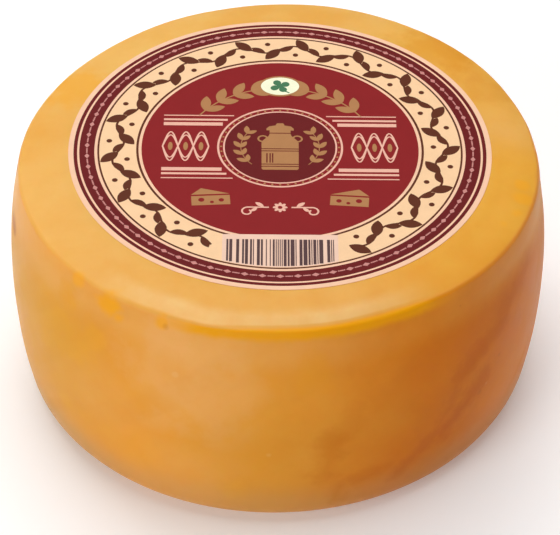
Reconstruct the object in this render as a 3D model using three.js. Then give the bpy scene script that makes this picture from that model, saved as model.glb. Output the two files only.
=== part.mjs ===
// A small uncut wheel of hard cheese with a smooth waxy rind and a round paper label on its top.
// Millimetres, +Z up. The origin is the middle of the wheel's box, at the face it stands on.

import * as THREE from 'three';
import { mergeVertices } from 'three/addons/utils/BufferGeometryUtils.js';

// Driving dimensions of the wheel.
const girthRadius = 90; // at half height, where the side bulges most
const wheelHeight = 88; // to the flat middle of the top
const barrelSetback = 5; // how far the side has drawn in by the level of the foot and of the shoulder
const footFillet = 12; // the worn, sagged edge that it stands on
const topFillet = 4; // the crisp edge that the mould's lid leaves
const crownRise = 2; // from the shoulder up to the flat that carries the label

// Driving dimensions of the label.
const labelRadius = 69.5;
const labelThickness = 0.3;
const glueGap = 0.3;
const labelShift = new THREE.Vector2(0.35, 1.2); // it was not stuck on quite in the middle

// Hand-made unevenness: how deep each set of lobes goes, how many there are, and where one peaks.
const lobes = [
  { count: 2, depth: 1.2, peak: THREE.MathUtils.degToRad(45) },
  { count: 3, depth: 0.42, peak: THREE.MathUtils.degToRad(-40) },
  { count: 4, depth: 0.15, peak: THREE.MathUtils.degToRad(-8) },
];
const topLean = -1.1; // rise of the top at the girth radius on +X, so the top falls that way

// How finely the round forms are cut.
const stepsAround = 96;
const stepsUpSide = 12;
const stepsRoundFoot = 6;
const stepsRoundTopEdge = 4;
const stepsOverCrown = 4;

const settlingRounds = 12; // enough for a fillet's end to come to rest on the curve it meets
const seamTolerance = 1e-3;

const shoulderHeight = wheelHeight - crownRise;

function sideRadius(z) {
  const fromMiddle = (2 * z) / shoulderHeight - 1;
  return girthRadius - barrelSetback * fromMiddle ** 2;
}

// How far the side's outward normal points up, in radians; it points down below the girth.
function sideTilt(z) {
  const fromMiddle = (2 * z) / shoulderHeight - 1;
  return Math.atan((4 * barrelSetback * fromMiddle) / shoulderHeight);
}

// An arc given by the tilts of its outward normal at its two ends.
function arc(centre, radius, fromTilt, toTilt, steps) {
  const points = [];
  for (let i = 0; i <= steps; i++) {
    const tilt = THREE.MathUtils.lerp(fromTilt, toTilt, i / steps);
    points.push(new THREE.Vector2(Math.cos(tilt), Math.sin(tilt)).multiplyScalar(radius).add(centre));
  }
  return points;
}

// The foot's rounding, from flat on the ground to where it runs on into the side.
function footEdge() {
  let tilt = 0;
  for (let i = 0; i < settlingRounds; i++) {
    tilt = sideTilt(footFillet * (1 + Math.sin(tilt)));
  }
  const joinRadius = sideRadius(footFillet * (1 + Math.sin(tilt)));
  const centre = new THREE.Vector2(joinRadius - footFillet * Math.cos(tilt), footFillet);
  return arc(centre, footFillet, -Math.PI / 2, tilt, stepsRoundFoot);
}

// The top edge's rounding, from the side to the shoulder, where the crown begins at its own slope.
function topEdge() {
  let tilt = 0;
  let crownSlope = 0;
  const centre = new THREE.Vector2();
  for (let i = 0; i < settlingRounds; i++) {
    centre.y = shoulderHeight - topFillet * Math.cos(crownSlope);
    tilt = sideTilt(centre.y + topFillet * Math.sin(tilt));
    centre.x = sideRadius(centre.y + topFillet * Math.sin(tilt)) - topFillet * Math.cos(tilt);
    const crownWidth = centre.x + topFillet * Math.sin(crownSlope) - labelRadius;
    crownSlope = Math.atan((2 * crownRise) / crownWidth);
  }
  return arc(centre, topFillet, tilt, Math.PI / 2 - crownSlope, stepsRoundTopEdge);
}

// Half of the wheel's section, from the middle of the foot round to the middle of the top.
function wheelSection() {
  const foot = footEdge();
  const edge = topEdge();
  const sideFoot = foot.at(-1);
  const sideTop = edge[0];
  const shoulder = edge.at(-1);

  const side = [];
  for (let i = 1; i < stepsUpSide; i++) {
    const z = THREE.MathUtils.lerp(sideFoot.y, sideTop.y, i / stepsUpSide);
    side.push(new THREE.Vector2(sideRadius(z), z));
  }

  const crown = [];
  for (let i = 1; i <= stepsOverCrown; i++) {
    const outward = 1 - i / stepsOverCrown;
    const radius = THREE.MathUtils.lerp(labelRadius, shoulder.x, outward);
    crown.push(new THREE.Vector2(radius, wheelHeight - crownRise * outward ** 2));
  }

  const footMiddle = new THREE.Vector2(0, 0);
  const topMiddle = new THREE.Vector2(0, wheelHeight);
  return [footMiddle, ...foot, ...side, ...edge, ...crown, topMiddle];
}

// Half of the label's section, from the middle of its underside round to the middle of its face.
function labelSection() {
  const underside = wheelHeight + glueGap;
  return [
    new THREE.Vector2(0, underside),
    new THREE.Vector2(labelRadius, underside),
    new THREE.Vector2(labelRadius, underside + labelThickness),
    new THREE.Vector2(0, underside + labelThickness),
  ];
}

// Turns a section about +Z and keeps one vertex for each corner, so that the body is closed.
function turned(section) {
  const geometry = new THREE.LatheGeometry(section, stepsAround);
  geometry.rotateX(Math.PI / 2);
  geometry.deleteAttribute('normal');
  geometry.deleteAttribute('uv');
  const merged = mergeVertices(geometry, seamTolerance);

  const corners = merged.getIndex().array;
  const kept = [];
  for (let i = 0; i < corners.length; i += 3) {
    const [a, b, c] = corners.slice(i, i + 3);
    if (a !== b && b !== c && c !== a) kept.push(a, b, c);
  }
  merged.setIndex(kept);
  return merged;
}

function lobeFactor(angle) {
  const swell = (sum, lobe) => sum + lobe.depth * Math.cos(lobe.count * (angle - lobe.peak));
  return 1 + lobes.reduce(swell, 0) / girthRadius;
}

function moveVertices(geometry, move) {
  const position = geometry.getAttribute('position');
  const point = new THREE.Vector3();
  for (let i = 0; i < position.count; i++) {
    point.fromBufferAttribute(position, i);
    move(point);
    position.setXYZ(i, point.x, point.y, point.z);
  }
  return geometry;
}

function swell(point) {
  const factor = lobeFactor(Math.atan2(point.y, point.x));
  point.x *= factor;
  point.y *= factor;
}

function lean(point) {
  point.z += (point.z / wheelHeight) * topLean * (point.x / girthRadius);
}

function shiftLabel(point) {
  point.x += labelShift.x;
  point.y += labelShift.y;
}

const wheelGeometry = moveVertices(moveVertices(turned(wheelSection()), swell), lean);
const labelGeometry = moveVertices(moveVertices(turned(labelSection()), shiftLabel), lean);

const wheel = new THREE.Mesh(
  wheelGeometry,
  new THREE.MeshStandardMaterial({ color: 0xe09a3e, roughness: 0.4, metalness: 0 }),
);
wheel.name = 'cheese_wheel';

const label = new THREE.Mesh(
  labelGeometry,
  new THREE.MeshStandardMaterial({ color: 0xfad29e, roughness: 0.55, metalness: 0 }),
);
label.name = 'label';

// The uneven wheel's box is put over the origin, and the label goes with it.
const middle = new THREE.Box3().setFromObject(wheel).getCenter(new THREE.Vector3());
const cheese = new THREE.Group();
cheese.position.set(-middle.x, -middle.y, 0);
cheese.add(wheel, label);

const part = new THREE.Group();
part.add(cheese);

export default part;
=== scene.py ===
"""A small wheel of hard cheese with a waxy rind and a printed paper label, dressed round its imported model."""

import math

import bpy
import numpy as np
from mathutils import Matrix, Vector
from mathutils.geometry import delaunay_2d_cdt


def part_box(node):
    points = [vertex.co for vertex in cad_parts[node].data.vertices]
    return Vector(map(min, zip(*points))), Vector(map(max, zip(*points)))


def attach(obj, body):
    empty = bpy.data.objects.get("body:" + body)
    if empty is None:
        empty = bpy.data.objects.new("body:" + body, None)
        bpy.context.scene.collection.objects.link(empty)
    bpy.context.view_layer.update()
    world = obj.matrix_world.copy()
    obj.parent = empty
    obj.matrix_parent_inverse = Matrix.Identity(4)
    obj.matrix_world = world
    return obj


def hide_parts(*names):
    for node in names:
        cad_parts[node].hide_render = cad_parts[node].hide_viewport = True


bl_info = {
    "name": "Hard cheese wheel",
    "version": (1, 0, 0),
    "blender": (4, 5, 0),
    "location": "3D View > Sidebar > Cheese",
    "description": "Builds a small wheel of hard cheese with its rind, paper label and print",
    "category": "Add Mesh",
}

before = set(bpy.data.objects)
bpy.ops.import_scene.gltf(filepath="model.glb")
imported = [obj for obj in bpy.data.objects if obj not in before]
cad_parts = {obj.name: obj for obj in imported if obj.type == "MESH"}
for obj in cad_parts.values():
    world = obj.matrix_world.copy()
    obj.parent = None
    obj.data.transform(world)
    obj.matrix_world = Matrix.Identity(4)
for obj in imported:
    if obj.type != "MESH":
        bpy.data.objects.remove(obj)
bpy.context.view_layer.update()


LABEL_LOW, LABEL_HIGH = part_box("label")
BODY = "root"
MM = 0.001
TURN = 2 * math.pi
DEGREE = TURN / 360
WHITE = (1.0, 1.0, 1.0, 1.0)


def screen(red, green, blue):
    """A colour as a screen shows it, 0 to 255, in the linear values that Blender works in."""
    shares = (value / 255 for value in (red, green, blue))
    return tuple(share / 12.92 if share <= 0.04045 else ((share + 0.055) / 1.055) ** 2.4 for share in shares)


# ---- settings


def length(name, description, default):
    """A distance property in metres."""
    return bpy.props.FloatProperty(
        name=name, description=description, default=default, unit="LENGTH", subtype="DISTANCE", precision=5
    )


def colour(name, description, default):
    """A colour property in linear values."""
    return bpy.props.FloatVectorProperty(
        name=name, description=description, default=default, size=3, subtype="COLOR", min=0, max=1
    )


def share(name, description, default, top):
    """A plain number from nought to top."""
    return bpy.props.FloatProperty(name=name, description=description, default=default, min=0, max=top)


def angle(name, description, degrees):
    """An angle property."""
    return bpy.props.FloatProperty(
        name=name, description=description, default=math.radians(degrees), unit="ROTATION", subtype="ANGLE"
    )


class CheeseWheelSettings(bpy.types.PropertyGroup):
    """Sizes and colours of the wheel and its rind."""

    girth_radius: length("Girth radius", "Radius at half height, where the side bulges most", 90 * MM)
    height: length("Height", "From the foot to the flat middle of the top", 88 * MM)
    barrel_setback: length("Barrel setback", "How far the side draws in by the foot and the shoulder", 5 * MM)
    foot_fillet: length("Foot fillet", "Radius of the sagged edge that it stands on", 12 * MM)
    top_fillet: length("Top fillet", "Radius of the crisp edge round the top", 2.2 * MM)
    crown_rise: length("Crown rise", "From the shoulder up to the flat under the label", 2 * MM)
    flat_radius: length("Flat radius", "Radius of the flat that carries the label", 69.5 * MM)
    top_lean: length("Top lean", "Rise of the top at the girth radius on +X", -1.1 * MM)
    lobe_depths: bpy.props.FloatVectorProperty(
        name="Lobe depths",
        description="How deep the sets of two, three and four lobes go",
        default=(1.2 * MM, 0.42 * MM, 0.15 * MM),
        size=3,
        unit="LENGTH",
        precision=5,
    )
    lobe_peaks: bpy.props.FloatVectorProperty(
        name="Lobe peaks",
        description="Where one of the two, three and four lobes peaks",
        default=tuple(math.radians(value) for value in (45, -40, -8)),
        size=3,
        unit="ROTATION",
    )
    swell_depth: length("Swell depth", "Depth of the broad hollows that hands left in the rind", 0.3 * MM)
    ripple_depth: length("Ripple depth", "Depth of the small ripples in the wax", 0.06 * MM)
    edge_wear: length("Edge wear", "How far the crisp top edge is worn back in places", 0.8 * MM)
    worn_heading: angle("Worn heading", "Where on the rim the top edge is worn back most", -80)
    rim_bulge: length("Rim bulge", "How far the top edge stands out where it was pressed outward", 0.9 * MM)
    bulge_heading: angle("Bulge heading", "Where on the rim the top edge stands out most", -25)
    steps_around: bpy.props.IntProperty(
        name="Steps around", description="Faces round the wheel", default=600, min=24
    )
    seed: share("Seed", "Which of the random rinds is made", 4.0, 100.0)
    # The top's colours are paler than the side's, partly a painted sheen of the overhead softboxes.
    top_light: colour("Light top", "The palest rind of the top", screen(240, 187, 102))
    top_deep: colour("Deep top", "The deepest rind of the top", screen(232, 165, 72))
    side_light: colour("Light side", "The palest rind of the side", screen(240, 167, 62))
    side_deep: colour("Deep side", "The deepest rind of the side", screen(234, 153, 40))
    # Painted shade: a warm darkening of the right side, which the softboxes light least.
    rind_right_shade: colour("Cast", "Multiplies the rind where it was handled most", (0.9, 0.58, 0.06))
    # Painted shade: dark streaks where the side's reflection darkens.
    rind_streak_shade: colour("Streak", "Multiplies the rind along the rubbed streaks", (0.84, 0.66, 0.2))
    top_cast: colour("Top cast", "Multiplies the top where it is deepest", (1.0, 0.93, 0.5))
    # Painted shade: darkens and greys the left limb and the low front.
    rind_grey_shade: colour("Dust", "Multiplies the side where it is dullest", (0.87, 0.94, 1.0))
    # Painted reflection: the pale sheen on the side under the edge.
    rind_sheen: colour("Bloom", "Pale bloom on the wax of the side", screen(250, 190, 120))
    # Gold is the rind's clear colour, where no painted sheen lies.
    rind_gold: colour("Gold", "Clear wax with no bloom", screen(242, 166, 30))
    # Also the painted shade low down towards the ground.
    rind_brown_and_shade: colour("Brown rind", "Smears, specks and foot", screen(184, 96, 26))
    # Also the painted highlight along the front lip.
    rind_scuff_and_highlight: colour("Pale rind", "Small scuffs", screen(246, 205, 140))
    rind_foot: colour("Foot", "Dull wax low down on the foot's rounding", screen(196, 156, 108))
    # Painted light: the bright, saturated stripe along the crisp front edge.
    rind_edge_light: colour("Glowing rind", "Thin wax along the top edge", screen(249, 169, 2))


class CheeseLabelSettings(bpy.types.PropertyGroup):
    """Sizes and inks of the round paper label."""

    radius: length("Radius", "Radius of the paper", 69.5 * MM)
    shift_x: length("Shift X", "How far off the middle it was stuck, to the right", 0.35 * MM)
    shift_y: length("Shift Y", "How far off the middle it was stuck, to the back", 1.2 * MM)
    paper: length("Paper", "Thickness of the paper", 0.16 * MM)
    ink: length("Ink", "Thickness of one printed layer", 0.03 * MM)
    paper_colour: colour("Paper colour", "The bare border", screen(250, 203, 169))
    cream: colour("Cream", "The broad pale ring", screen(252, 209, 163))
    blush: colour("Blush", "Fine rules and outlines", screen(240, 184, 162))
    rose: colour("Rose", "The bead chain on the dark ring", screen(206, 140, 132))
    red: colour("Red", "The disc in the middle", screen(140, 22, 25))
    maroon: colour("Maroon", "The dark rings and the medallion", screen(106, 15, 17))
    umber: colour("Umber", "The vine and the lines along the pale ring", screen(95, 42, 18))
    tan: colour("Tan", "Churn, leaves and wedges", screen(180, 127, 80))
    ivory: colour("Ivory", "The badge", screen(250, 250, 216))
    green: colour("Green", "The clover", screen(70, 122, 84))
    panel: colour("Panel", "Ground of the bar code", screen(244, 205, 182))
    bar: colour("Bar", "Bars of the bar code", screen(88, 62, 62))


class CheeseStageSettings(bpy.types.PropertyGroup):
    """Floor, camera and lights."""

    lens: bpy.props.FloatProperty(
        name="Lens", description="Focal length in millimetres", default=155.0, min=1
    )
    elevation: angle("Elevation", "How far the camera looks down", 41.52)
    distance: length("Distance", "From the camera to the middle of the wheel", 821.4 * MM)
    aim_below: length("Aim below", "How far under the middle the camera aims", 5.96 * MM)
    aim_right: length("Aim right", "How far right of the middle the camera aims", 0.31 * MM)
    floor_radius: length("Floor radius", "Radius of the pale floor", 6.0)
    floor_colour: colour("Floor colour", "The pale floor", (0.93, 0.93, 0.93))
    floor_glow: share("Floor glow", "How brightly the floor shines of itself", 0.18, 10.0)
    world: share("World", "Brightness of the pale room", 0.09, 10.0)
    top_light: share("Top light", "Power of the overhead softbox in watts", 14.6, 1000.0)
    left_light: share("Left light", "Power of the softbox in front on the left in watts", 10.1, 1000.0)
    back_light: share("Back light", "Power of the softbox behind in watts", 12.8, 1000.0)
    right_light: share("Right light", "Power of the small softbox on the right in watts", 1.05, 1000.0)


# ---- nodes


class Value:
    """A node's output. Arithmetic on it adds Math nodes to its graph."""

    def __init__(self, graph, output):
        self.graph = graph
        self.output = output

    def math(self, operation, *others):
        return self.graph.math(operation, self, *others)

    def __add__(self, other):
        return self.math("ADD", other)

    def __radd__(self, other):
        return self.graph.math("ADD", other, self)

    def __sub__(self, other):
        return self.math("SUBTRACT", other)

    def __rsub__(self, other):
        return self.graph.math("SUBTRACT", other, self)

    def __mul__(self, other):
        return self.math("MULTIPLY", other)

    def __rmul__(self, other):
        return self.graph.math("MULTIPLY", other, self)

    def __truediv__(self, other):
        return self.math("DIVIDE", other)


class Graph:
    """A tree of nodes being made, for a material or for Geometry Nodes."""

    def __init__(self, tree):
        self.tree = tree
        tree.nodes.clear()

    def add(self, kind, settings=None, inputs=None):
        """One node: its settings first, then its inputs by name or number."""
        made = self.tree.nodes.new(kind)
        for name, value in (settings or {}).items():
            setattr(made, name, value)
        for key, value in (inputs or {}).items():
            if isinstance(value, Value):
                self.tree.links.new(value.output, made.inputs[key])
            else:
                made.inputs[key].default_value = value
        return made

    def node(self, kind, settings=None, inputs=None, output=0):
        """One of the outputs of a new node."""
        return Value(self, self.add(kind, settings, inputs).outputs[output])

    def math(self, operation, *values):
        return self.node("ShaderNodeMath", {"operation": operation}, dict(enumerate(values)))

    def vector_math(self, operation, *values, output=0):
        return self.node("ShaderNodeVectorMath", {"operation": operation}, dict(enumerate(values)), output)

    def vector(self, x, y, z):
        return self.node("ShaderNodeCombineXYZ", inputs={0: x, 1: y, 2: z})

    def axes(self, vector):
        """The three numbers of a vector."""
        split = self.add("ShaderNodeSeparateXYZ", inputs={0: vector})
        return [Value(self, output) for output in split.outputs]

    def noise(self, place, scale, detail=2.0, roughness=0.5, seed=0.0):
        """Soft noise from about 0.3 to 0.7, with scale in bumps for each metre."""
        inputs = {"Vector": place, "W": seed, "Scale": scale, "Detail": detail, "Roughness": roughness}
        return self.node("ShaderNodeTexNoise", {"noise_dimensions": "4D"}, inputs)

    def ramp(self, value, low, high, to_low=0.0, to_high=1.0):
        """value's way from low to high, eased at both ends and held there."""
        inputs = {0: value, 1: low, 2: high, 3: to_low, 4: to_high}
        return self.node("ShaderNodeMapRange", {"interpolation_type": "SMOOTHSTEP"}, inputs)

    def near(self, heading, target, low, high):
        """One close to a target heading, fading between these cosines of the angle off it."""
        return self.ramp((heading - target).math("COSINE"), low, high)

    def mix(self, factor, first, second, blend="MIX"):
        """One colour over another."""
        inputs = {0: factor, 6: opaque(first), 7: opaque(second)}
        return self.node("ShaderNodeMix", {"data_type": "RGBA", "blend_type": blend}, inputs, 2)


def opaque(colour_value):
    """A colour with its fourth number, or a link as it is."""
    return colour_value if isinstance(colour_value, Value) else (*colour_value, 1.0)


def surface(name, constants, varying):
    """A material with one Principled shader. varying(graph) gives the inputs that change over the surface."""
    material = bpy.data.materials.new(name)
    material.use_nodes = True
    graph = Graph(material.node_tree)
    inputs = {**constants, **varying(graph)}
    shader = graph.node("ShaderNodeBsdfPrincipled", inputs=inputs)
    graph.add("ShaderNodeOutputMaterial", inputs={"Surface": shader})
    return material


class GeometryGraph(Graph):
    """A Geometry Nodes tree with a geometry in and out, named inputs and a material."""

    def __init__(self, name, **sockets):
        tree = bpy.data.node_groups.new(name, "GeometryNodeTree")
        super().__init__(tree)
        tree.interface.new_socket("Geometry", in_out="OUTPUT", socket_type="NodeSocketGeometry")
        self.identifiers = {}
        for key, kind in {"geometry": "Geometry", **sockets, "material": "Material"}.items():
            made = tree.interface.new_socket(shown(key), in_out="INPUT", socket_type="NodeSocket" + kind)
            self.identifiers[key] = made.identifier
        self.entrance = tree.nodes.new("NodeGroupInput")

    def given(self, name):
        """A named input of the tree."""
        return Value(self, self.entrance.outputs[shown(name)])

    def close(self, geometry):
        """Realizes the copies, gives them their material and ends the tree."""
        real = self.node("GeometryNodeRealizeInstances", inputs={0: geometry})
        inputs = {"Geometry": real, "Material": self.given("material")}
        dressed = self.node("GeometryNodeSetMaterial", inputs=inputs)
        self.add("NodeGroupOutput", inputs={0: dressed})

    def run(self, piece, **values):
        """Runs the tree on a piece and leaves it a plain mesh."""
        modifier = piece.modifiers.new(self.tree.name, "NODES")
        modifier.node_group = self.tree
        for name, value in values.items():
            modifier[self.identifiers[name]] = value
        depsgraph = bpy.context.evaluated_depsgraph_get()
        mesh = bpy.data.meshes.new_from_object(piece.evaluated_get(depsgraph))
        piece.modifiers.clear()
        piece.data = mesh
        mesh.name = piece.name


def shown(name):
    """The name of a tree's input as it is shown, Girth Radius for girth_radius."""
    return name.replace("_", " ").title()


# ---- pieces


def new_piece(name, vertices, faces, edges=()):
    """A mesh object at the origin."""
    mesh = bpy.data.meshes.new(name)
    mesh.from_pydata([tuple(vertex) for vertex in vertices], list(edges), faces)
    mesh.update()
    piece = bpy.data.objects.new(name, mesh)
    bpy.context.scene.collection.objects.link(piece)
    return piece


def settle(piece, slot, *nodes):
    """Fixes a finished piece to the body and hides the nodes that it stands for. The slot, its finish, is not
    used.
    """
    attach(piece, BODY)
    if nodes:
        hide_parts(*nodes)


def coordinates(mesh):
    """A mesh's vertices as rows of numbers."""
    points = np.empty(len(mesh.vertices) * 3)
    mesh.vertices.foreach_get("co", points)
    return points.reshape(-1, 3)


def place_vertices(mesh, points):
    """Puts a mesh's vertices at these places."""
    mesh.vertices.foreach_set("co", points.ravel())
    mesh.update()


def shift_mesh(piece, x, y, z=0.0):
    """Moves a mesh inside its object."""
    place_vertices(piece.data, coordinates(piece.data) + (x, y, z))


# ---- the wheel

FOOT_STEPS = 16
SIDE_STEPS = 64
TOP_EDGE_STEPS = 16
CROWN_STEPS = 14
SETTLING_ROUNDS = 12


def side_radius(wheel, z):
    """The side's radius at a height, a shallow barrel."""
    from_middle = 2 * z / (wheel.height - wheel.crown_rise) - 1
    return wheel.girth_radius - wheel.barrel_setback * from_middle**2


def side_tilt(wheel, z):
    """How far the side's outward normal points up; it points down below the girth."""
    shoulder_height = wheel.height - wheel.crown_rise
    return math.atan(4 * wheel.barrel_setback * (2 * z / shoulder_height - 1) / shoulder_height)


def arc(centre, radius, from_tilt, to_tilt, steps):
    """An arc given by the tilts of its outward normal at its two ends."""
    tilts = np.linspace(from_tilt, to_tilt, steps + 1)
    return [(centre[0] + radius * math.cos(tilt), centre[1] + radius * math.sin(tilt)) for tilt in tilts]


def foot_edge(wheel):
    """The foot's rounding, from flat on the ground to where it runs on into the side."""
    fillet = wheel.foot_fillet
    tilt = 0.0
    for _ in range(SETTLING_ROUNDS):
        tilt = side_tilt(wheel, fillet * (1 + math.sin(tilt)))
    join = side_radius(wheel, fillet * (1 + math.sin(tilt)))
    return arc((join - fillet * math.cos(tilt), fillet), fillet, -math.pi / 2, tilt, FOOT_STEPS)


def top_edge(wheel):
    """The top edge's rounding, from the side to the shoulder, where the crown begins at its own slope."""
    fillet = wheel.top_fillet
    tilt = slope = 0.0
    for _ in range(SETTLING_ROUNDS):
        centre_z = wheel.height - wheel.crown_rise - fillet * math.cos(slope)
        tilt = side_tilt(wheel, centre_z + fillet * math.sin(tilt))
        centre_r = side_radius(wheel, centre_z + fillet * math.sin(tilt)) - fillet * math.cos(tilt)
        crown_width = centre_r + fillet * math.sin(slope) - wheel.flat_radius
        slope = math.atan(2 * wheel.crown_rise / crown_width)
    return arc((centre_r, centre_z), fillet, tilt, math.pi / 2 - slope, TOP_EDGE_STEPS)


def wheel_section(wheel):
    """Half of the wheel's section, from the middle of the foot round to the middle of the top."""
    foot = foot_edge(wheel)
    edge = top_edge(wheel)
    side = [
        (side_radius(wheel, z), z) for z in np.linspace(foot[-1][1], edge[0][1], SIDE_STEPS + 1)[1:-1]
    ]
    crown = []
    for outward in np.linspace(1, 0, CROWN_STEPS + 1)[1:]:
        radius = wheel.flat_radius + (edge[-1][0] - wheel.flat_radius) * outward
        crown.append((radius, wheel.height - wheel.crown_rise * outward**2))
    under = [(0.0, 0.0), (foot[0][0] * 0.6, 0.0)]
    over = [(wheel.flat_radius * 0.5, wheel.height), (0.0, wheel.height)]
    return under + foot + side + edge + crown + over


# Inputs of the wheel's tree, each a setting of the wheel, and the kind of each.
WHEEL_INPUTS = {
    "steps_around": "Int",
    "girth_radius": "Float",
    "height": "Float",
    "top_lean": "Float",
    "lobe_depths": "Vector",
    "lobe_peaks": "Vector",
    "flat_radius": "Float",
    "swell_depth": "Float",
    "ripple_depth": "Float",
    "edge_wear": "Float",
    "worn_heading": "Float",
    "rim_bulge": "Float",
    "bulge_heading": "Float",
    "seed": "Float",
}
# Where each part of the relief fades, from nothing to full: outward from the label's flat, up from the
# ground, and towards the corner of the top edge, which lies this far in from the girth and down.
OFF_LABEL = (0.8 * MM, 6 * MM)
OFF_GROUND = (0.5 * MM, 9 * MM)
CORNER_IN, CORNER_DOWN = 5.5 * MM, 2.5 * MM
WORN_REACH = (6 * MM, 0.5 * MM)
BULGE_REACH = (12 * MM, 1 * MM)
MERGE_REACH = 0.001 * MM


def wheel_graph():
    """Turns a section about Z into an uneven wheel: lobes, a leaning top and a handled rind's relief."""
    graph = GeometryGraph("turned_wheel", **WHEEL_INPUTS)
    given = graph.given
    section, around, girth = (given(key) for key in ("geometry", "steps_around", "girth_radius"))
    rows = graph.node("GeometryNodeAttributeDomainSize", inputs={0: section})
    grid = graph.node("GeometryNodeMeshGrid", inputs={"Vertices X": around + 1, "Vertices Y": rows})
    index = graph.node("GeometryNodeInputIndex")
    here = graph.node("GeometryNodeInputPosition")
    inputs = {"Geometry": section, "Value": here, "Index": index.math("MODULO", rows)}
    place = graph.node("GeometryNodeSampleIndex", {"data_type": "FLOAT_VECTOR"}, inputs)
    radius, _, height = graph.axes(place)
    heading = (index / rows).math("FLOOR") / around * TURN

    out = radius
    depths, peaks = (graph.axes(given(key)) for key in ("lobe_depths", "lobe_peaks"))
    for lobes, depth, peak in zip((2, 3, 4), depths, peaks):
        out = out + radius * depth / girth * ((heading - peak) * lobes).math("COSINE")
    x = out * heading.math("COSINE")
    y = out * heading.math("SINE")
    z = height + height / given("height") * given("top_lean") * x / girth
    inputs = {"Geometry": grid, "Position": graph.vector(x, y, z)}
    turned = graph.node("GeometryNodeSetPosition", inputs=inputs)
    closed = graph.node("GeometryNodeMergeByDistance", inputs={"Geometry": turned, "Distance": MERGE_REACH})

    # The rind sinks a little here and there, but not under the label or where it stands.
    x, y, z = graph.axes(here)
    reach = (x * x + y * y).math("SQRT")
    facing = y.math("ARCTAN2", x)
    seed = given("seed")
    off_label = graph.ramp(reach - given("flat_radius"), *OFF_LABEL)
    off_ground = graph.ramp(z, *OFF_GROUND)
    outward = reach - girth + CORNER_IN
    upward = z - given("height") + CORNER_DOWN
    from_corner = (outward * outward + upward * upward).math("SQRT")
    swell = graph.ramp(graph.noise(here, 21, 1.5, 0.45, seed), 0.3, 0.72)
    ripple = graph.ramp(graph.noise(here, 95, 2.5, 0.5, seed), 0.3, 0.7)
    worn = graph.ramp(graph.noise(here, 34, 2.0, 0.5, seed + 7), 0.5, 0.78)
    worn = worn * 0.45 + graph.near(facing, given("worn_heading"), 0.9, 0.985)
    depth = swell * given("swell_depth") + ripple * given("ripple_depth")
    depth = depth + worn * graph.ramp(from_corner, *WORN_REACH) * given("edge_wear")
    inputs = {0: graph.node("GeometryNodeInputNormal"), "Scale": depth * off_label * off_ground * -1}
    inward = graph.node("ShaderNodeVectorMath", {"operation": "SCALE"}, inputs)

    # In one place the top edge stands out instead.
    bulge = graph.near(facing, given("bulge_heading"), 0.84, 0.98) * graph.ramp(from_corner, *BULGE_REACH)
    bulge = bulge * given("rim_bulge") / reach
    offset = graph.vector_math("ADD", inward, graph.vector(x * bulge, y * bulge, 0.0))
    handled = graph.node("GeometryNodeSetPosition", inputs={"Geometry": closed, "Offset": offset})
    graph.close(graph.node("GeometryNodeSetShadeSmooth", inputs={"Geometry": handled}))
    return graph


# Parts of the way round, by headings in degrees. The right is 0 and the front is -90. Each part has its
# full strength between the two headings in the middle and fades to the two outside.
RIGHT_SIDE = (-76, -36, 10, 40)
DEEP_TOP = (-72, -45, -6, 12)
DEEP_TOP_BEHIND = (8, 26, 50, 68)
# Painted shade on the right.
RIGHT_SHADE = (-98, -56, 0, 60)
# Painted shade in front, low down.
LOW_FRONT_SHADE = (-122, -96, -50, -34)
# Painted light along the front edge.
EDGE_LIT_FRONT = (-118, -104, -64, -42)
# Painted highlight on the lip.
LIP_HIGHLIGHT_FRONT = (-138, -112, -80, -50)
# Painted shade on the left limb.
LEFT_SHADE_HEADING = -168
# Parts of the height in millimetres, from nothing to full: of the painted reflection under the edge, the
# painted shade low down, on the left and in front, the foot, and the painted light along the edge from below
# and from above. The lip, with its painted highlight, fades both ways. The rind is the top's above TOP_LEVEL
# and the side's below SIDE_LEVEL, which lies higher on the right.
SHEEN_HEIGHT = (68, 78)
GROUND_SHADE_HEIGHT = (34, 2)
LEFT_SHADE_HEIGHT = (88, 58)
LOW_FRONT_SHADE_HEIGHT = (64, 40)
FOOT = (25, 9)
EDGE_LIGHT_FROM_BELOW = (81.0, 83.5)
EDGE_LIGHT_FROM_ABOVE = (85.6, 85.0)
LIP_HIGHLIGHT_HEIGHT = (85.6, 86.0, 86.8, 87.6)
TOP_LEVEL, SIDE_LEVEL, RIGHT_SIDE_RISE = 85.9, 84.3, 0.9

# Marks on the rind: heading in degrees, radius, height and size in millimetres, and strength.
# Bare spots painted in the colour of the painted edge light; those on the right crest paint the light that the
# edge there would catch.
BARE_AND_LIT_MARKS = (
    (-126.5, 86, 82.3, 6.6, 0.95), (-124.5, 87, 79.5, 4.0, 0.8), (-136, 86, 84, 3.0, 0.7),
    (-114.5, 86, 83.5, 3.0, 0.8), (-11, 81, 86.7, 3.2, 0.5), (-16, 82, 86.6, 3.6, 0.5),
    (-21, 82, 86.6, 3.4, 0.5), (-26, 80, 86.8, 2.6, 0.4), (58, 86, 84, 4.0, 0.7), (150, 86, 84, 5.0, 0.7),
)
BROWN_MARKS = (
    (-168, 88, 71, 5.5, 0.7), (-43, 89, 36, 1.6, 0.3), (-37, 89, 46, 1.4, 0.3), (-113.5, 86, 82.5, 1.5, 0.2),
    (46, 74, 87.8, 24, 0.16), (27, 78, 87.3, 18, 0.1), (20, 88, 30, 2.2, 0.4), (102, 89, 47, 1.6, 0.4),
)
PALE_MARKS = (
    (-112, 89, 47, 1.2, 0.25), (-111, 89, 66, 1.2, 0.2), (-108, 88, 79, 1.8, 0.35), (-92, 89, 37, 1.2, 0.2),
    (-128, 89, 57, 1.2, 0.25), (-41, 89, 38, 1.3, 0.2), (65, 87, 25, 1.3, 0.25), (140, 89, 60, 1.2, 0.25),
)
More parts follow.
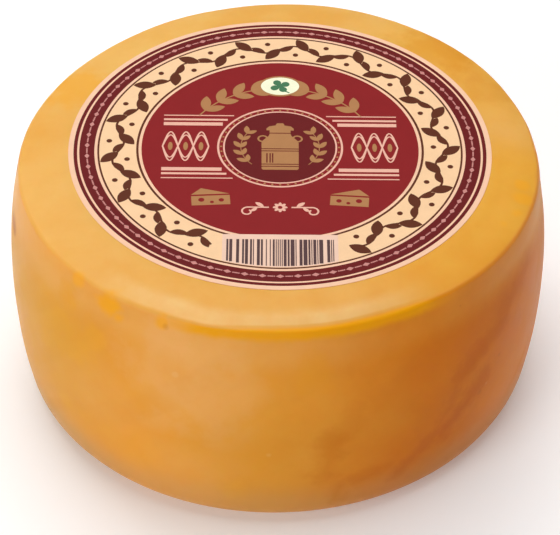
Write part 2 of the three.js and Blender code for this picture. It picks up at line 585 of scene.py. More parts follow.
# Spots of painted reflection on the side.
SHEEN_MARKS = (
    (-109, 89, 64, 30, 0.5), (-110, 88, 22, 24, 0.2), (-127, 89, 46, 22, 0.15), (-168, 89, 66, 28, 0.25),
    (-174, 86, 80, 12, 0.5), (-32, 89, 26, 24, 0.22), (-12, 88, 76, 20, 0.3), (6, 89, 56, 24, 0.15),
    (60, 89, 50, 40, 0.4), (130, 89, 40, 36, 0.4),
)
GOLD_MARKS = (
    (-141, 89, 63, 20, 0.6), (-131, 89, 67, 7, 0.5), (-119, 88, 26, 12, 0.2), (-140, 88, 30, 6, 0.4),
    (-99, 88, 18, 8, 0.4), (-84, 89, 70, 10, 0.35), (46, 76, 87.6, 20, 0.35), (154, 77, 87.5, 14, 0.45),
    (44, 89, 60, 12, 0.5), (110, 89, 66, 14, 0.5),
)
# Streaks of painted shade, where the side's reflection darkens: heading and height at each end, half the width
# and the strength.
SHADE_STREAKS = (
    (-24, 70, -38, 60, 5.5, 0.5), (-36, 59, -45, 56, 5.5, 0.7), (-43, 56, -50, 49, 5.5, 0.85),
    (-50, 50, -52, 38, 4.6, 0.75), (-42, 43, -52, 30, 7.0, 0.9), (-36, 50, -46, 26, 12.0, 0.3),
    (-52, 40, -56, 29, 4.2, 0.65), (-55, 30, -64, 18, 4.2, 0.8), (-67, 23, -74, 20, 4.0, 0.55),
    (-78.5, 42, -80.5, 26, 5.6, 0.8), (-77, 18, -78, 12, 4.0, 0.7), (-74, 53, -78, 40, 5.5, 0.4),
    (-42, 66, -66, 56, 16.0, 0.3), (-50, 46, -60, 30, 14.0, 0.25),
)


def rind_material(wheel):
    """Satin wax over orange rind: soft clouds, specks, scuffs and bare spots, with painted light and shade: a
    warm painted shade on the right, painted shade low down, on the left limb and in streaks, a painted
    reflection under the edge, a painted light along the front edge and a painted highlight on the lip.
    """

    def varying(graph):
        place = graph.node("ShaderNodeTexCoord", output="Object")
        x, y, z = graph.axes(place)
        heading = y.math("ARCTAN2", x)
        level = z - x * (wheel.top_lean / wheel.girth_radius)
        seed = wheel.seed

        def rise(value, low, high):
            """The way from one measure to the other, both in millimetres."""
            return graph.ramp(value, low * MM, high * MM)

        def band(value, ends, unit):
            """One between the two middle ends, fading to the two outer ones."""
            start, full, fading, end = (number * unit for number in ends)
            return graph.ramp(value, start, full) * graph.ramp(value, end, fading)

        def marks(spots, softness=0.7):
            """Each spot's strength inside it, with a soft uneven edge."""
            strongest = 0.0
            for turn, out, height, size, strength in spots:
                turn *= DEGREE
                spot = (out * math.cos(turn) * MM, out * math.sin(turn) * MM, height * MM)
                away = graph.vector_math("DISTANCE", place, spot, output=1)
                away = away + (mottle - 0.5) * (size * softness * MM)
                strongest = (rise(away, size, size * 0.3) * strength).math("MAXIMUM", strongest)
            return strongest

        def strokes(lines):
            """Each line's strength along it on the unrolled side, fading to both sides and broken up."""
            strongest = 0.0
            for turn0, height0, turn1, height1, width, strength in lines:
                start, end = (
                    Vector((turn * DEGREE * wheel.girth_radius, height * MM, 0.0))
                    for turn, height in ((turn0, height0), (turn1, height1))
                )
                run = end - start
                across = graph.vector_math("SUBTRACT", unrolled, tuple(start))
                way = graph.vector_math("DOT_PRODUCT", across, tuple(run / run.length_squared), output=1)
                way = way.math("MAXIMUM", 0.0).math("MINIMUM", 1.0)
                nearest = graph.vector(way * run.x, way * run.y, 0.0)
                away = graph.vector_math("DISTANCE", across, nearest, output=1)
                away = away + (ragged - 0.5) * (width * 0.8 * MM)
                strongest = (rise(away, width * 1.4, 0.0) * strength).math("MAXIMUM", strongest)
            return strongest

        clouds = graph.ramp(graph.noise(place, 16, 3.0, 0.55, seed), 0.34, 0.66)
        mottle = graph.ramp(graph.noise(place, 62, 4.0, 0.6, seed + 1), 0.32, 0.68)
        fine = graph.noise(place, 260, 3.0, 0.6, seed + 4)
        grain = graph.noise(place, 700, 2.0, 0.6, seed + 2)
        stray = graph.noise(place, 30, 2.0, 0.5, seed + 6) - 0.5
        wander = heading + stray * 0.5
        unrolled = graph.vector(heading * wheel.girth_radius, z, 0.0)
        ragged = graph.ramp(graph.noise(place, 110, 3.0, 0.6, seed + 8), 0.3, 0.7)

        # Wiped marks slant down to the left all round, so their noise is twisted and stretched that way.
        inputs = {"Vector": place, "Angle": z / wheel.girth_radius * -1}
        twist = graph.node("ShaderNodeVectorRotate", {"rotation_type": "Z_AXIS"}, inputs)
        along = graph.vector_math("MULTIPLY", twist, (1.0, 1.0, 0.4))
        brushed = graph.ramp(graph.noise(along, 55, 2.0, 0.45, seed + 3), 0.3, 0.7)

        # The top is paler than the side, partly as a painted sheen of the overhead softboxes, with two deeper
        # parts, and a painted reflection of the pale room lies under the edge, strongest on the right.
        over = graph.mix(clouds * 0.6 + mottle * 0.4, wheel.top_deep, wheel.top_light)
        deepest = band(heading, DEEP_TOP_BEHIND, DEGREE) * 0.6 + band(wander, DEEP_TOP, DEGREE)
        over = graph.mix(deepest, over, wheel.top_cast, "MULTIPLY")
        beside = graph.mix(clouds * 0.5 + mottle * 0.35 + brushed * 0.15, wheel.side_deep, wheel.side_light)
        right = band(heading, RIGHT_SIDE, DEGREE)
        under_edge = rise(level + stray * (6 * MM), *SHEEN_HEIGHT)
        sheen = under_edge * (0.3 + right * 0.36) + marks(SHEEN_MARKS, 0.5)
        beside = graph.mix(sheen * (0.7 + mottle * 0.3), beside, wheel.rind_sheen)
        side = graph.ramp(level, TOP_LEVEL * MM, right * (RIGHT_SIDE_RISE * MM) + SIDE_LEVEL * MM)
        tone = graph.mix(side, over, beside)
        tone = graph.mix(marks(GOLD_MARKS), tone, wheel.rind_gold)

        # Painted shade: the rind is warmer on the right, which the softboxes light least, browner low down
        # where the ground shades it, darker and greyer on the left limb and the low front, and darker along
        # streaks where the side's reflection darkens. The foot's rounding turns a duller, greyer tan.
        right_shade = band(wander, RIGHT_SHADE, DEGREE) * (side * 0.75 + 0.25) * (1 - under_edge * right * 0.2)
        tone = graph.mix(right_shade, tone, wheel.rind_right_shade, "MULTIPLY")
        tone = graph.mix(rise(z, *GROUND_SHADE_HEIGHT) * (0.12 + mottle * 0.1), tone, wheel.rind_brown_and_shade)
        left_shade = graph.near(heading, LEFT_SHADE_HEADING * DEGREE, 0.66, 0.96) * rise(z, *LEFT_SHADE_HEIGHT)
        front_shade = band(heading, LOW_FRONT_SHADE, DEGREE) * rise(z, *LOW_FRONT_SHADE_HEIGHT) * 0.6
        tone = graph.mix(left_shade.math("MAXIMUM", front_shade) * 0.9, tone, wheel.rind_grey_shade, "MULTIPLY")
        foot = rise(z + stray * (8 * MM), *FOOT)
        tone = graph.mix(foot * (left_shade * 0.25 + 0.3), tone, wheel.rind_foot)
        streak_shade = strokes(SHADE_STREAKS) * (0.75 + brushed * 0.25) * side
        tone = graph.mix(streak_shade, tone, wheel.rind_streak_shade, "MULTIPLY")
        smear = graph.ramp(brushed, 0.55, 1.0) * side
        tone = graph.mix(smear * 0.05, tone, wheel.rind_brown_and_shade)

        # In front a painted light runs along the crisp edge as a bright, saturated stripe, and the lip inside
        # it carries a painted highlight.
        uneven = level + stray * (1.6 * MM)
        drips = uneven + (ragged - 0.5) * (0.8 * MM)
        edge_light = rise(drips, *EDGE_LIGHT_FROM_BELOW) * rise(uneven, *EDGE_LIGHT_FROM_ABOVE)
        lip_highlight = band(uneven, LIP_HIGHLIGHT_HEIGHT, MM) * band(wander, LIP_HIGHLIGHT_FRONT, DEGREE)
        tone = graph.mix(lip_highlight * (0.34 + mottle * 0.3), tone, wheel.rind_scuff_and_highlight)
        lit_and_bare = (edge_light * band(wander, EDGE_LIT_FRONT, DEGREE)).math("MAXIMUM", marks(BARE_AND_LIT_MARKS))
        tone = graph.mix(lit_and_bare * (0.8 + mottle * 0.15), tone, wheel.rind_edge_light)

        cells = {"Vector": place, "Scale": 105.0}
        away = graph.node("ShaderNodeTexVoronoi", inputs=cells)
        lot = graph.node("ShaderNodeTexVoronoi", inputs=cells, output="Color")
        speck = graph.ramp(away, 0.075, 0.03) * graph.ramp(graph.axes(lot)[0], 0.86, 0.9)
        pale = marks(PALE_MARKS)
        tone = graph.mix((speck * 0.35).math("MAXIMUM", marks(BROWN_MARKS)), tone, wheel.rind_brown_and_shade)
        tone = graph.mix(pale, tone, wheel.rind_scuff_and_highlight)

        relief = fine * 0.5 + grain * 0.2 - speck * 0.8 + mottle * 0.6 + pale * 0.5
        inputs = {"Strength": 0.35, "Distance": 0.14 * MM, "Height": relief}
        return {
            "Base Color": tone,
            "Roughness": 0.4 + (mottle - 0.5) * 0.08 + smear * 0.05,
            "Coat Weight": (0.02 - lit_and_bare * 0.015) * (1 - streak_shade),
            "Normal": graph.node("ShaderNodeBump", inputs=inputs),
        }

    constants = {
        "Subsurface Weight": 0.25,
        "Subsurface Radius": (1.0, 0.4, 0.12),
        "Subsurface Scale": 5 * MM,
        "IOR": 1.17,
        "Coat Roughness": 0.3,
    }
    return surface("waxed_rind", constants, varying)


class CHEESE_OT_wheel(bpy.types.Operator):
    """Turn the section into the uneven wheel and give it its rind"""

    bl_idname = "cheese.wheel"
    bl_label = "Wheel and rind"

    def execute(self, context):
        wheel = context.scene.cheese_wheel
        section = wheel_section(wheel)
        links = [(i, i + 1) for i in range(len(section) - 1)]
        piece = new_piece("rind_wheel", [(radius, 0, z) for radius, z in section], [], links)
        sizes = {name: getattr(wheel, name) for name in WHEEL_INPUTS}
        wheel_graph().run(piece, **sizes, material=rind_material(wheel))
        shift_mesh(piece, *box_shift(context))
        settle(piece, "rind", "cheese_wheel")
        return {"FINISHED"}


def box_shift(context):
    """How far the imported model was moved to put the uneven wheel's box over the origin."""
    label = context.scene.cheese_label
    middle = (LABEL_LOW + LABEL_HIGH) / 2
    return middle.x - label.shift_x, middle.y - label.shift_y


# ---- flat shapes
# Outlines are rows of x and y in shares of the label's radius. One that runs anticlockwise is filled,
# and one that runs clockwise is a hole.

CIRCLE_STEPS = 192


def polar(radius, turn):
    """Rows of x and y at these radii and angles."""
    return np.column_stack([radius * np.cos(turn), radius * np.sin(turn)])


def circle(radius, centre=(0.0, 0.0), steps=CIRCLE_STEPS):
    """A filled circle."""
    return polar(radius, np.arange(steps) / steps * TURN) + centre


def oval(width, height, centre, steps=64):
    """A filled ellipse with these half axes."""
    return circle(1.0, steps=steps) * (width, height) + centre


def hole(outline):
    """The same outline as a hole."""
    return outline[::-1]


def ring(inner, outer, centre=(0.0, 0.0), steps=CIRCLE_STEPS):
    """A ring, as a filled circle and a hole."""
    return [circle(outer, centre, steps), hole(circle(inner, centre, steps))]


def block(x0, y0, x1, y1):
    """A filled rectangle."""
    return np.array([(x0, y0), (x1, y0), (x1, y1), (x0, y1)], float)


def ribbon(path, width):
    """A filled strip of even width along an open path."""
    path = np.asarray(path, float)
    along = np.gradient(path, axis=0)
    along /= np.linalg.norm(along, axis=1)[:, None]
    across = np.column_stack([along[:, 1], -along[:, 0]]) * width / 2
    return np.vstack([path + across, (path - across)[::-1]])


def leaf(length_share, width, steps=10):
    """A pointed leaf from the origin out along +X, between two arcs."""
    s = np.linspace(0, 1, steps + 1)
    swell = width / 2 * np.sin(np.pi * s) ** 0.8
    lower = np.column_stack([s * length_share, -swell])
    upper = np.column_stack([s * length_share, swell])[::-1]
    return np.vstack([lower, upper[1:-1]])


def placed(outline, x=0.0, y=0.0, turn=0.0):
    """An outline turned about the origin, in degrees, and then moved."""
    cos, sin = math.cos(turn * DEGREE), math.sin(turn * DEGREE)
    return outline @ np.array([[cos, sin], [-sin, cos]]) + (x, y)


def flipped(outlines):
    """Outlines mirrored from left to right, still filled and hollow as they were."""
    return [(outline * (-1, 1))[::-1] for outline in outlines]


def windings(points, outline):
    """How many times an outline runs round each point."""
    first = outline[None] - points[:, None]
    second = np.roll(outline, -1, axis=0)[None] - points[:, None]
    cross = first[..., 0] * second[..., 1] - first[..., 1] * second[..., 0]
    return np.round(np.arctan2(cross, (first * second).sum(-1)).sum(1) / TURN)


def slab(name, outlines, thickness):
    """A closed thin plate of these outlines, its underside at z = 0."""
    corners = [Vector(point) for outline in outlines for point in outline]
    edges = []
    for outline in outlines:
        start = len(edges)
        count = len(outline)
        edges += [(start + i, start + (i + 1) % count) for i in range(count)]
    flat, _, triangles, *_ = delaunay_2d_cdt(corners, edges, [], 0, 1e-7)
    flat = np.array([tuple(point) for point in flat])
    triangles = np.array([tuple(triangle) for triangle in triangles])
    centres = flat[triangles].mean(axis=1)
    inside = sum(windings(centres, outline) for outline in outlines) > 0
    triangles = triangles[inside]

    used, lower = np.unique(triangles, return_inverse=True)
    lower = lower.reshape(-1, 3)
    flat = flat[used]
    count = len(flat)
    sides = {}
    for a, b, c in lower:
        for edge in ((a, b), (b, c), (c, a)):
            if edge[::-1] in sides:
                del sides[edge[::-1]]
            else:
                sides[edge] = True
    vertices = np.vstack([np.column_stack([flat, np.full(count, z)]) for z in (0.0, thickness)])
    faces = [tuple(face[::-1]) for face in lower.tolist()]
    faces += [tuple(face) for face in (lower + count).tolist()]
    faces += [(int(a), int(b), int(b) + count, int(a) + count) for a, b in sides]
    return new_piece(name, vertices, faces)


# ---- the label

GROUND, MARK, DETAIL = 0, 1, 2  # printed layers from the paper up
# Inner and outer radius of each printed ring, in shares of the label's radius.
OUTER_BAND = (0.958, 0.975)
DARK_RING = (0.877, 0.948)
OUTER_LINE = (0.854, 0.863)
PALE_RING = (0.68, 0.854)
INNER_LINE = (0.669, 0.68)
DISC_RADIUS = 0.655
MEDALLION_RADIUS = 0.262
MEDALLION_RINGS = ((MEDALLION_RADIUS, 0.270), (0.288, 0.298))
BEAD_REACH = 0.279
BAR_SPREAD = 3.6  # makes a bar or gap one to four modules wide


def round_graph():
    """Repeats a flat motif about the label's middle, at even steps of angle."""
    graph = GeometryGraph("repeat_round", count="Int", first_angle="Float", step_angle="Float")
    given = graph.given
    index = graph.node("GeometryNodeInputIndex")
    points = graph.node("GeometryNodePoints", inputs={"Count": given("count")})
    turn = given("first_angle") + index * given("step_angle")
    rotation = graph.node("FunctionNodeEulerToRotation", inputs={0: graph.vector(0.0, 0.0, turn)})
    inputs = {"Points": points, "Instance": given("geometry"), "Rotation": rotation}
    graph.close(graph.node("GeometryNodeInstanceOnPoints", inputs=inputs))
    return graph


def bars_graph():
    """A row of bars and gaps of uneven width that fills a width, each bar running down to a round rim."""
    graph = GeometryGraph("bar_row", count="Int", width="Float", top="Float", rim="Float", seed="Int")
    given = graph.given
    index = graph.node("GeometryNodeInputIndex")
    points = graph.node("GeometryNodePoints", inputs={"Count": given("count") * 2 - 1})
    inputs = {2: 0.0, 3: 1.0, "ID": index, "Seed": given("seed")}
    draw = graph.node("FunctionNodeRandomValue", {"data_type": "FLOAT"}, inputs, 1)
    modules = (draw * draw * BAR_SPREAD).math("FLOOR") + 1
    total, before = (
        graph.node("GeometryNodeAccumulateField", {"data_type": "FLOAT"}, {0: modules}, output)
        for output in ("Total", "Trailing")
    )
    module = given("width") / total
    start = before * module - given("width") / 2
    middle = start + modules * module / 2
    rim = given("rim")
    reach = (rim * rim - middle * middle).math("SQRT")
    inputs = {"Geometry": points, "Position": graph.vector(start, reach * -1, 0.0)}
    inputs = {
        "Points": graph.node("GeometryNodeSetPosition", inputs=inputs),
        "Selection": index.math("MODULO", 2) * -1 + 1,
        "Instance": given("geometry"),
        "Scale": graph.vector(modules * module, reach + given("top"), 1.0),
    }
    graph.close(graph.node("GeometryNodeInstanceOnPoints", inputs=inputs))
    return graph


def ink_material(name, ink):
    """Printed paper: a hair of unevenness in the ink and the fibre of the paper under it."""

    def varying(graph):
        place = graph.node("ShaderNodeTexCoord", output="Object")
        blotch = graph.noise(place, 180, 3.0, 0.6)
        fibre = graph.noise(place, 2600, 2.0, 0.6)
        light = graph.ramp(blotch * 0.6 + fibre * 0.4, 0.3, 0.7, 0.955, 1.03)
        tone = graph.node("ShaderNodeVectorMath", {"operation": "SCALE"}, {0: tuple(ink), "Scale": light})
        inputs = {"Strength": 0.12, "Distance": 0.03 * MM, "Height": fibre}
        bump = graph.node("ShaderNodeBump", inputs=inputs)
        return {"Base Color": tone, "Roughness": 0.52 + (fibre - 0.5) * 0.12, "Normal": bump}

    return surface(name, {"IOR": 1.22}, varying)


class Print:
    """Makes printed pieces in one place on the label and keeps one material for each ink."""

    def __init__(self, context):
        self.label = context.scene.cheese_label
        self.wheel = context.scene.cheese_wheel
        self.shift = box_shift(context)

    def ink(self, name):
        made = bpy.data.materials.get("ink_" + name)
        return made or ink_material("ink_" + name, getattr(self.label, name))

    def lay(self, piece, layer):
        """Scales a motif from shares to metres and lays it on the leaning top of the wheel, at its layer."""
        points = coordinates(piece.data)
        points[:, :2] *= self.label.radius
        points[:, :2] += (self.label.shift_x, self.label.shift_y)
        points[:, 2] += self.label.paper + layer * self.label.ink
        points[:, 2] += self.wheel.height + self.wheel.top_lean * points[:, 0] / self.wheel.girth_radius
        points[:, :2] += self.shift
        place_vertices(piece.data, points)
        settle(piece, "label_paper")

    def shape(self, name, outlines, ink, layer):
        """Prints outlines as they are."""
        piece = slab(name, outlines, self.label.ink)
        piece.data.materials.append(self.ink(ink))
        self.lay(piece, layer)

    def round(self, name, outlines, ink, layer, count, first, step):
        """Prints a motif again and again about the middle, from first, at steps in degrees."""
        piece = slab(name, outlines, self.label.ink)
        angles = {"first_angle": first * DEGREE, "step_angle": step * DEGREE}
        round_graph().run(piece, count=count, **angles, material=self.ink(ink))
        self.lay(piece, layer)


class CHEESE_OT_label_paper(bpy.types.Operator):
    """Lay the round paper on the wheel and print its plain rings and disc"""

    bl_idname = "cheese.label_paper"
    bl_label = "Label paper and rings"

    def execute(self, context):
        printer = Print(context)
        label = printer.label
        paper = slab("label_paper", [circle(1.0)], label.paper)
        paper.data.materials.append(ink_material("bare_paper", label.paper_colour))
        shift_mesh(paper, 0.0, 0.0, -label.paper)
        printer.lay(paper, GROUND)
        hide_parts("label")

        printer.shape("maroon_rings", ring(*OUTER_BAND) + ring(*DARK_RING), "maroon", GROUND)
        printer.shape("umber_lines", ring(*OUTER_LINE) + ring(*INNER_LINE), "umber", GROUND)
        printer.shape("cream_ring", ring(*PALE_RING), "cream", GROUND)
        printer.shape("red_disc", [circle(DISC_RADIUS)], "red", GROUND)
        return {"FINISHED"}


class CHEESE_OT_garland(bpy.types.Operator):
    """Print the running vine on the pale ring and the chain of beads on the dark one"""

    bl_idname = "cheese.garland"
    bl_label = "Vine and bead chain"

    def execute(self, context):
        printer = Print(context)
        count, first, step = 15, -66.0, 20.8
        middle, swing = 0.768, 0.028
        way = np.linspace(0, 1, 25)
        motif = [ribbon(polar(middle + swing * np.sin(TURN * way), step * DEGREE * way), 0.0105)]
        big_leaf, small_leaf, berry = leaf(0.112, 0.056), leaf(0.08, 0.038), circle(0.0135, steps=16)
        # Each is at a share of the step, this far off the middle of the ring, leaning from the way round.
        for share_along, away, lean, outline in (
            (0.0, -0.004, -50, big_leaf),
            (0.5, 0.004, 50, big_leaf),
            (0.27, 0.027, 36, small_leaf),
            (0.77, -0.027, -36, small_leaf),
            (0.21, -0.042, 0, berry),
            (0.71, 0.042, 0, berry),
        ):
            turn = step * share_along
            x, y = polar(middle + away, turn * DEGREE)[0]
            motif.append(placed(outline, x, y, turn + 90 + lean))
        printer.round("vine_garland", motif, "umber", MARK, count, first, step)

        reach, links = 0.912, 72
        lozenge = oval(0.0115, 0.019, (reach, 0.0), 4)
        dash = block(reach - 0.0035, -0.009, reach + 0.0035, 0.009)
        dot = circle(0.004, (reach, 0.0), 10)
        chain = [lozenge, placed(dot, turn=1.65), placed(dash, turn=2.5), placed(dot, turn=3.35)]
        printer.round("bead_chain", chain, "rose", MARK, links, 0.0, 360 / links)
        return {"FINISHED"}


def wave_ribbon(start, end, waves, swing, phase, width):
    """A strip along a sine wave that makes this many waves from start to end."""
    along = np.linspace(0, 1, 72)
    wave = swing * np.sin(TURN * waves * along + phase)
    return ribbon(np.column_stack([start + (end - start) * along, wave]), width)


class CHEESE_OT_side_bands(bpy.types.Operator):
    """Print the rules and the braid on both sides of the medallion"""

    bl_idname = "cheese.side_bands"
    bl_label = "Rules and braid"

    def execute(self, context):
        printer = Print(context)
        clear_of_medallion, outer_end = 0.322, 0.556
        heavy, light, hair = [], [], []
        for rules, height, width in ((heavy, 0.169, 0.024), (light, 0.202, 0.014), (hair, 0.234, 0.007)):
            start = math.sqrt(clear_of_medallion**2 - height**2)
            for low in (height, -height):
                rules.append(block(start, low - width / 2, outer_end, low + width / 2))
        start, waves, swing, width = 0.338, 1.5, 0.095, 0.0075
        strands = []
        for apart in (-0.012, 0.012):
            for phase in (0.0, math.pi):
                strands.append(wave_ribbon(start, outer_end, waves, swing + apart, phase, width))
        wave_length = (outer_end - start) / waves
        middles = [start + wave_length * (half + 0.5) / 2 for half in range(3)]
        eyes = [oval(0.011, 0.03, (middle, 0.0), 24) for middle in middles]
        printer.shape("heavy_rules", heavy + flipped(heavy), "blush", MARK)
        printer.shape("light_rules", light + hair + flipped(light + hair), "blush", MARK)
        printer.shape("braid", strands + flipped(strands), "blush", MARK)
        printer.shape("braid_eyes", eyes + flipped(eyes), "tan", MARK)
        return {"FINISHED"}


def churn():
    """A milk churn seen from the front: foot, body, shoulder, neck, lid and two handles."""
    half_body, half_neck, foot, shoulder, neck, lid = 0.088, 0.05, -0.17, 0.028, 0.098, 0.124
    ease = np.linspace(0, 1, 9)
    slope = half_body - (half_body - half_neck) * (1 - np.cos(np.pi * ease)) / 2
    right = [(half_body - 0.008, foot), (half_body - 0.001, foot + 0.008), (half_body, shoulder)]
    right += list(zip(slope[1:], shoulder + (neck - shoulder) * ease[1:]))
    right += [(half_neck, lid), (half_neck + 0.015, lid), (half_neck + 0.015, lid + 0.014)]
    right += [(half_neck + 0.002, lid + 0.03), (0.02, lid + 0.038), (0.02, lid + 0.046)]
    right += [(0.013, lid + 0.054)]
    right = np.array(right)
    body = np.vstack([right, (right * (-1, 1))[::-1]])
    line = 0.006
    hoops = [hole(block(-0.1, y, 0.1, y + line)) for y in (-0.148, -0.132, -0.034, -0.018)]
    collar = hole(block(-half_neck - 0.01, neck + 0.002, half_neck + 0.01, neck + 0.002 + line))
    lights = [hole(ribbon([(x, -0.118), (x, -0.048)], line)) for x in (-0.062, -0.047, -0.035)]
    handle = ring(0.017, 0.026, (half_body - 0.006, 0.06), 28)
    return [body, *hoops, collar, *lights], handle + flipped(handle)


def laurel(radius, length_share, width, step):
    """Two leaves and a piece of stem on a circle about the middle, near angle 0, to repeat every step."""
    heading = np.linspace(-step / 2, step / 2, 9) * DEGREE
    stem = ribbon(polar(radius, heading), width * 0.15)
    outer = placed(leaf(length_share, width), radius, 0.0, 90 - 34)
    inner = placed(leaf(length_share * 0.9, width * 0.9), radius, 0.0, 90 + 34)
    return stem, outer, inner


class CHEESE_OT_medallion(bpy.types.Operator):
    """Print the medallion with its churn, and the wreath above it"""

    bl_idname = "cheese.medallion"
    bl_label = "Medallion and wreath"

    def execute(self, context):
        printer = Print(context)
        printer.shape("medallion_ground", [circle(MEDALLION_RADIUS, steps=96)], "maroon", MARK)
        inner, outer = (ring(*radii, steps=96) for radii in MEDALLION_RINGS)
        printer.shape("medallion_rings", inner + outer, "blush", MARK)
        printer.round("medallion_beads", [circle(0.0055, (BEAD_REACH, 0.0), 10)], "tan", MARK, 48, 0.0, 7.5)
        body, handles = churn()
        printer.shape("churn", body, "tan", DETAIL)
        printer.shape("churn_handles", handles, "tan", DETAIL + 1)

        sprig = laurel(0.186, 0.058, 0.027, 17.0)
        printer.round("sprig_right", sprig, "tan", DETAIL, 5, -36.0, 17.0)
        printer.round("sprig_left", flipped(sprig), "tan", DETAIL, 5, 36.0, -17.0)
        wreath = laurel(0.452, 0.112, 0.05, 11.6)
        printer.round("wreath_right", wreath, "tan", MARK, 4, 37.0, 11.6)
        printer.round("wreath_left", flipped(wreath), "tan", MARK, 4, -37.0, -11.6)
        return {"FINISHED"}


def clover(size):
    """A four-leaved clover with a short stalk."""
    turn = np.linspace(0, TURN, 96, endpoint=False)
    reach = size * (0.28 + 0.72 * np.abs(np.cos(2 * turn)) ** 0.6)
    stalk = ribbon([(0.0, 0.0), (size * 0.35, -size * 0.7), (size * 0.9, -size * 1.05)], size * 0.14)
    return [polar(reach, turn + 0.5), stalk]


def wedge():
    """A wedge cut from a cheese, seen from the side, with a few eyes."""
    face = np.array([(-0.085, -0.045), (0.07, -0.045), (0.07, 0.012), (-0.085, 0.012)], float)
    top = np.array([(-0.085, 0.021), (0.07, 0.021), (0.028, 0.06)], float)
    eyes = [hole(circle(radius, (x, y), 16)) for x, y, radius in (
        (-0.05, -0.017, 0.011), (-0.012, -0.028, 0.008), (0.03, -0.012, 0.0125)
    )]
    return [face, *eyes, top]


class CHEESE_OT_small_marks(bpy.types.Operator):
    """Print the badge with its clover, the wedges, the rosette and the scrolls"""

    bl_idname = "cheese.small_marks"
    bl_label = "Badge, wedges and scrolls"

    def execute(self, context):
        printer = Print(context)
        badge, flower = (0.0, 0.468), (0.0, -0.44)
        printer.shape("badge_rim", [oval(0.104, 0.08, badge)], "tan", DETAIL)
        printer.shape("badge", [oval(0.093, 0.069, badge)], "ivory", DETAIL + 1)
        leaves = [placed(outline, *badge) for outline in clover(0.05)]
        printer.shape("badge_clover", leaves, "green", DETAIL + 2)
        slices = [placed(outline * 1.15, 0.33, -0.375, -4) for outline in wedge()]
        printer.shape("wedges", slices + flipped(slices), "tan", MARK)

        turn = np.linspace(0, TURN, 96, endpoint=False)
        petals = polar(0.034 * (0.62 + 0.38 * np.abs(np.cos(4 * turn))), turn)
        printer.shape("rosette", [petals + flower, hole(circle(0.011, flower, 16))], "blush", MARK)
        curl = np.linspace(0, 1, 40)
        wind = TURN * 0.9 * curl
        shrink = 0.03 * (1 - 0.6 * curl)
        spiral = np.column_stack([0.15 + shrink * np.sin(wind), shrink * np.cos(wind) - 0.47])
        lead = np.column_stack([np.linspace(0.052, 0.145, 12), np.full(12, -0.44)])
        scroll = [
            ribbon(np.vstack([lead, spiral]), 0.0085),
            placed(leaf(0.05, 0.022), 0.075, -0.436, 38),
            placed(leaf(0.04, 0.018), 0.105, -0.444, -40),
        ]
        printer.shape("scrolls", scroll + flipped(scroll), "blush", MARK)
        return {"FINISHED"}


class CHEESE_OT_bar_code(bpy.types.Operator):
    """Print the pale panel and a plain bar code that stands for no number"""

    bl_idname = "cheese.bar_code"
    bl_label = "Bar code"

    def execute(self, context):
        printer = Print(context)
        half, top, rim = 0.262, -0.63, 0.852
        start = math.asin(half / rim)
        edge = polar(rim, np.linspace(-start, start, 25) - math.pi / 2)
        printer.shape("bar_panel", [np.vstack([edge, [(half, top), (-half, top)]])], "panel", MARK)

        piece = slab("bar_code", [block(0.0, 0.0, 1.0, 1.0)], printer.label.ink)
        sizes = {"count": 30, "width": 0.486, "top": top - 0.034, "rim": rim - 0.007, "seed": 11}
        bars_graph().run(piece, **sizes, material=printer.ink("bar"))
        printer.lay(piece, DETAIL)
        return {"FINISHED"}


# ---- the stage

# The softboxes, with the place, width and height of each in metres. The power of each is a setting.
SOFTBOXES = {
    "top": ((0.0, 0.1, 1.6), 1.4, 1.4),
    "left": ((-1.0, -1.19, 0.7), 0.8, 1.0),
    "back": ((-0.3, 0.95, 1.45), 1.6, 1.0),
    "right": ((1.5, 0.4, 0.6), 0.8, 0.8),
}
FLOOR_STEPS = 96
SENSOR_WIDTH = 36.0
CAMERA_NEAR = 0.05


def floor_material(stage):
    """A pale matt floor that shines a little."""

    def varying(graph):
        place = graph.node("ShaderNodeTexCoord", output="Object")
        return {"Roughness": 0.75 + graph.noise(place, 6, 2.0) * 0.1}

    constants = {
        "Base Color": opaque(stage.floor_colour),
        "IOR": 1.3,
        "Emission Color": WHITE,
        "Emission Strength": stage.floor_glow,
    }
    return surface("pale_floor", constants, varying)


def softbox(name, place, target, width, height, power):
    """A rectangular area light that faces a point."""
    light = bpy.data.lights.new(name, "AREA")
    light.shape = "RECTANGLE"
    light.size = width
    light.size_y = height
    light.energy = power
    lamp = bpy.data.objects.new(name, light)
    lamp.location = place
    lamp.rotation_euler = (Vector(target) - Vector(place)).to_track_quat("-Z", "Y").to_euler()
    bpy.context.scene.collection.objects.link(lamp)


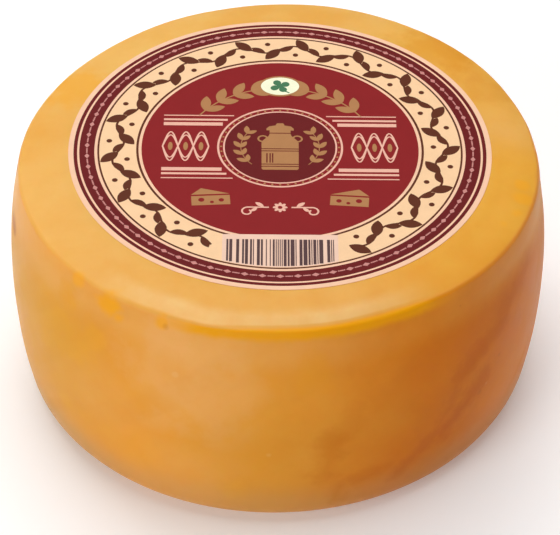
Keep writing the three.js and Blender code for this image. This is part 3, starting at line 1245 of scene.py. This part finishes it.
class CHEESE_OT_stage(bpy.types.Operator):
    """Make the pale floor, the soft lights and the camera"""

    bl_idname = "cheese.stage"
    bl_label = "Floor, lights and camera"

    def execute(self, context):
        scene = context.scene
        stage = scene.cheese_stage
        rim = [(x, y, 0.0) for x, y in circle(stage.floor_radius, steps=FLOOR_STEPS)]
        floor = new_piece("floor", rim, [tuple(range(FLOOR_STEPS))])
        floor.data.materials.append(floor_material(stage))

        middle = Vector((*box_shift(context), scene.cheese_wheel.height / 2))
        back = Vector((0.0, -math.cos(stage.elevation), math.sin(stage.elevation)))
        up = Vector((0.0, math.sin(stage.elevation), math.cos(stage.elevation)))
        lens = bpy.data.cameras.new("camera")
        lens.lens = stage.lens
        lens.sensor_width = SENSOR_WIDTH
        lens.sensor_fit = "HORIZONTAL"
        lens.clip_start = CAMERA_NEAR
        camera = bpy.data.objects.new("camera", lens)
        camera.location = middle + back * stage.distance
        aim = middle - up * stage.aim_below + Vector((stage.aim_right, 0.0, 0.0))
        camera.rotation_euler = (aim - camera.location).to_track_quat("-Z", "Y").to_euler()
        scene.collection.objects.link(camera)
        scene.camera = camera
        for side, (place, width, height) in SOFTBOXES.items():
            softbox(side + "_softbox", place, middle, width, height, getattr(stage, side + "_light"))

        world = bpy.data.worlds.new("pale_room")
        world.use_nodes = True
        background = world.node_tree.nodes["Background"]
        background.inputs["Color"].default_value = WHITE
        background.inputs["Strength"].default_value = stage.world
        scene.world = world
        scene.view_settings.view_transform = "Standard"
        return {"FINISHED"}


# ---- sidebar and registration

OPERATORS = (
    CHEESE_OT_stage,
    CHEESE_OT_wheel,
    CHEESE_OT_label_paper,
    CHEESE_OT_garland,
    CHEESE_OT_side_bands,
    CHEESE_OT_medallion,
    CHEESE_OT_small_marks,
    CHEESE_OT_bar_code,
)

SETTINGS = {
    "cheese_wheel": CheeseWheelSettings,
    "cheese_label": CheeseLabelSettings,
    "cheese_stage": CheeseStageSettings,
}


class CHEESE_PT_panel(bpy.types.Panel):
    """Lists the settings and the steps that build the cheese"""

    bl_idname = "CHEESE_PT_panel"
    bl_label = "Hard cheese wheel"
    bl_space_type = "VIEW_3D"
    bl_region_type = "UI"
    bl_category = "Cheese"

    def draw(self, context):
        for name, group in SETTINGS.items():
            box = self.layout.box()
            for key in group.__annotations__:
                box.prop(getattr(context.scene, name), key)
        for operator in OPERATORS:
            self.layout.operator(operator.bl_idname)


def register():
    for group in SETTINGS.values():
        bpy.utils.register_class(group)
    for name, group in SETTINGS.items():
        setattr(bpy.types.Scene, name, bpy.props.PointerProperty(type=group))
    for item in (*OPERATORS, CHEESE_PT_panel):
        bpy.utils.register_class(item)


def unregister():
    for item in (CHEESE_PT_panel, *reversed(OPERATORS)):
        bpy.utils.unregister_class(item)
    for name, group in SETTINGS.items():
        delattr(bpy.types.Scene, name)
        bpy.utils.unregister_class(group)


def main():
    """Builds the whole scene."""
    register()
    bpy.ops.cheese.stage()
    bpy.ops.cheese.wheel()
    bpy.ops.cheese.label_paper()
    bpy.ops.cheese.garland()
    bpy.ops.cheese.side_bands()
    bpy.ops.cheese.medallion()
    bpy.ops.cheese.small_marks()
    bpy.ops.cheese.bar_code()


if __name__ == "__main__":
    main()
